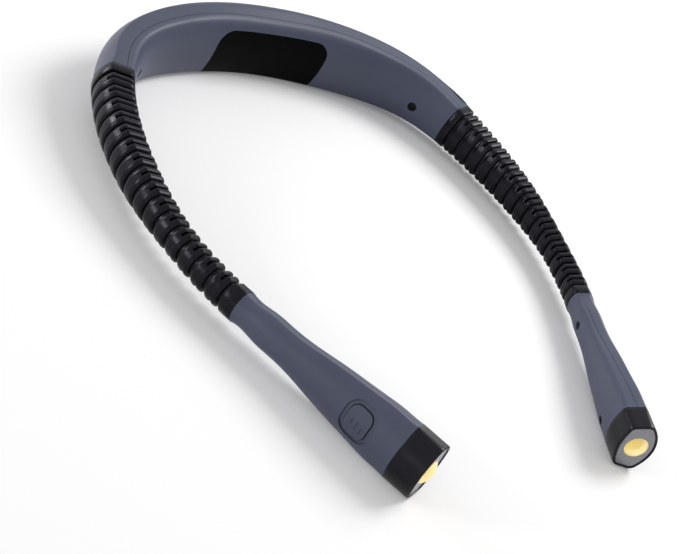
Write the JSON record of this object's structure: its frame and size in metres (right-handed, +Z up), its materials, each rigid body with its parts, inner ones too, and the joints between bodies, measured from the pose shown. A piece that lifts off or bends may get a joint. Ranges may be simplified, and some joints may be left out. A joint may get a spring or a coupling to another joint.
{
  "type": "neck reading light",
  "caption": "U-shaped neck light: a rigid battery collar behind the neck, bendable ribbed arms, and slim lamp heads with push buttons and clear domed lenses.",
  "frame": {"origin": "on the rest surface, in the flat land under the middle of the rear collar", "axes": "+Z up as the light lies on a table; the lamp heads point towards -Y; +X is the right side as seen from the heads"},
  "size_m": [0.1792, 0.2155, 0.0288],
  "materials": {
    "shell": "satin",
    "sleeve": "matte",
    "pad": "matte",
    "button": "satin",
    "bezel": "satin",
    "lens": "clear",
    "lamp": "satin",
    "screw": "blackened",
    "spine": "drawn",
    "steel": "drawn",
    "board": "satin",
    "switch": "satin",
    "cell": "foil",
    "foam": "matte",
    "lead": "satin"
  },
  "bodies": {
    "collar": {"collar_outer_shell": "shell", "collar_inner_shell": "shell", "neck_pad": "pad", "collar_screws": "screw", "battery_cell": "cell", "battery_foam": "foam", "battery_leads": "lead", "charge_board": "board", "charge_indicator": "lens", "usb_c_socket": "steel", "left_arm_sleeve_1": "sleeve", "left_spine_link_0": "spine", "right_arm_sleeve_1": "sleeve", "right_spine_link_0": "spine"},
    "left_link_1": {"left_spine_link_1": "spine", "left_arm_sleeve_2": "sleeve"},
    "left_link_2": {"left_spine_link_2": "spine", "left_arm_sleeve_3": "sleeve"},
    "left_link_3": {"left_spine_link_3": "spine", "left_arm_sleeve_4": "sleeve"},
    "left_link_4": {"left_spine_link_4": "spine", "left_arm_sleeve_5": "sleeve"},
    "left_link_5": {"left_spine_link_5": "spine"},
    "left_head": {"left_arm_sleeve_6": "sleeve", "left_spine_link_6": "spine", "left_head_outer_shell": "shell", "left_head_inner_shell": "shell", "left_head_screws": "screw", "left_switch_board": "board", "left_tactile_switch": "switch", "left_lamp_bezel": "bezel", "left_lamp_board": "board", "left_lamp": "lamp", "left_lens": "lens"},
    "left_button": {"left_button": "button"},
    "right_link_1": {"right_spine_link_1": "spine", "right_arm_sleeve_2": "sleeve"},
    "right_link_2": {"right_spine_link_2": "spine", "right_arm_sleeve_3": "sleeve"},
    "right_link_3": {"right_spine_link_3": "spine", "right_arm_sleeve_4": "sleeve"},
    "right_link_4": {"right_spine_link_4": "spine", "right_arm_sleeve_5": "sleeve"},
    "right_link_5": {"right_spine_link_5": "spine"},
    "right_head": {"right_arm_sleeve_6": "sleeve", "right_spine_link_6": "spine", "right_head_outer_shell": "shell", "right_head_inner_shell": "shell", "right_head_screws": "screw", "right_switch_board": "board", "right_tactile_switch": "switch", "right_lamp_bezel": "bezel", "right_lamp_board": "board", "right_lamp": "lamp", "right_lens": "lens"},
    "right_button": {"right_button": "button"}
  },
  "joints": [
    {"name": "left_spread_1", "type": "hinge", "parent": "collar", "child": "left_link_1", "pos_m": [-0.07989, -0.05444, 0.01023], "axis": [0, 0.0773, -0.997], "range_deg": [-5, 20], "deforming": ["left_arm_sleeve_1"]},
    {"name": "left_raise_1", "type": "hinge", "parent": "left_link_1", "child": "left_link_2", "pos_m": [-0.08277, -0.06981, 0.00968], "axis": [-0.9919, 0.1269, 0.0098], "range_deg": [-20, 20], "deforming": ["left_arm_sleeve_2"]},
    {"name": "left_spread_2", "type": "hinge", "parent": "left_link_2", "child": "left_link_3", "pos_m": [-0.08386, -0.0854, 0.00926], "axis": [0, 0.0773, -0.997], "range_deg": [-5, 20], "deforming": ["left_arm_sleeve_3"]},
    {"name": "left_raise_2", "type": "hinge", "parent": "left_link_3", "child": "left_link_4", "pos_m": [-0.08317, -0.10103, 0.00885], "axis": [-0.9948, -0.1015, -0.0079], "range_deg": [-20, 20], "deforming": ["left_arm_sleeve_4"]},
    {"name": "left_spread_3", "type": "hinge", "parent": "left_link_4", "child": "left_link_5", "pos_m": [-0.08069, -0.11647, 0.00844], "axis": [0, 0.0773, -0.997], "range_deg": [-5, 20], "deforming": ["left_arm_sleeve_5"]},
    {"name": "left_raise_3", "type": "hinge", "parent": "left_link_5", "child": "left_head", "pos_m": [-0.07646, -0.13154, 0.0082], "axis": [-0.9455, -0.3246, -0.0252], "range_deg": [-20, 20], "deforming": ["left_arm_sleeve_6"]},
    {"name": "left_button_press", "type": "slide", "parent": "left_head", "child": "left_button", "axis": [0.9039, 0.3966, -0.16], "range_m": [0, 0.0003], "stiffness_N_per_m": 5000},
    {"name": "right_spread_1", "type": "hinge", "parent": "collar", "child": "right_link_1", "pos_m": [0.07989, -0.05444, 0.01023], "axis": [0, -0.0773, 0.997], "range_deg": [-5, 20], "deforming": ["right_arm_sleeve_1"]},
    {"name": "right_raise_1", "type": "hinge", "parent": "right_link_1", "child": "right_link_2", "pos_m": [0.08277, -0.06981, 0.00968], "axis": [-0.9919, -0.1269, -0.0098], "range_deg": [-20, 20], "deforming": ["right_arm_sleeve_2"]},
    {"name": "right_spread_2", "type": "hinge", "parent": "right_link_2", "child": "right_link_3", "pos_m": [0.08386, -0.0854, 0.00926], "axis": [0, -0.0773, 0.997], "range_deg": [-5, 20], "deforming": ["right_arm_sleeve_3"]},
    {"name": "right_raise_2", "type": "hinge", "parent": "right_link_3", "child": "right_link_4", "pos_m": [0.08317, -0.10103, 0.00885], "axis": [-0.9948, 0.1015, 0.0079], "range_deg": [-20, 20], "deforming": ["right_arm_sleeve_4"]},
    {"name": "right_spread_3", "type": "hinge", "parent": "right_link_4", "child": "right_link_5", "pos_m": [0.08069, -0.11647, 0.00844], "axis": [0, -0.0773, 0.997], "range_deg": [-5, 20], "deforming": ["right_arm_sleeve_5"]},
    {"name": "right_raise_3", "type": "hinge", "parent": "right_link_5", "child": "right_head", "pos_m": [0.07646, -0.13154, 0.0082], "axis": [-0.9455, 0.3246, 0.0252], "range_deg": [-20, 20], "deforming": ["right_arm_sleeve_6"]},
    {"name": "right_button_press", "type": "slide", "parent": "right_head", "child": "right_button", "axis": [-0.9039, 0.3966, -0.16], "range_m": [0, 0.0003], "stiffness_N_per_m": 5000}
  ],
  "couplings": [
    {"joint": "left_spread_2", "follows": "left_spread_1", "ratio": 1},
    {"joint": "left_raise_2", "follows": "left_raise_1", "ratio": 1},
    {"joint": "left_spread_3", "follows": "left_spread_1", "ratio": 1},
    {"joint": "left_raise_3", "follows": "left_raise_1", "ratio": 1},
    {"joint": "right_spread_2", "follows": "right_spread_1", "ratio": 1},
    {"joint": "right_raise_2", "follows": "right_raise_1", "ratio": 1},
    {"joint": "right_spread_3", "follows": "right_spread_1", "ratio": 1},
    {"joint": "right_raise_3", "follows": "right_raise_1", "ratio": 1}
  ]
}
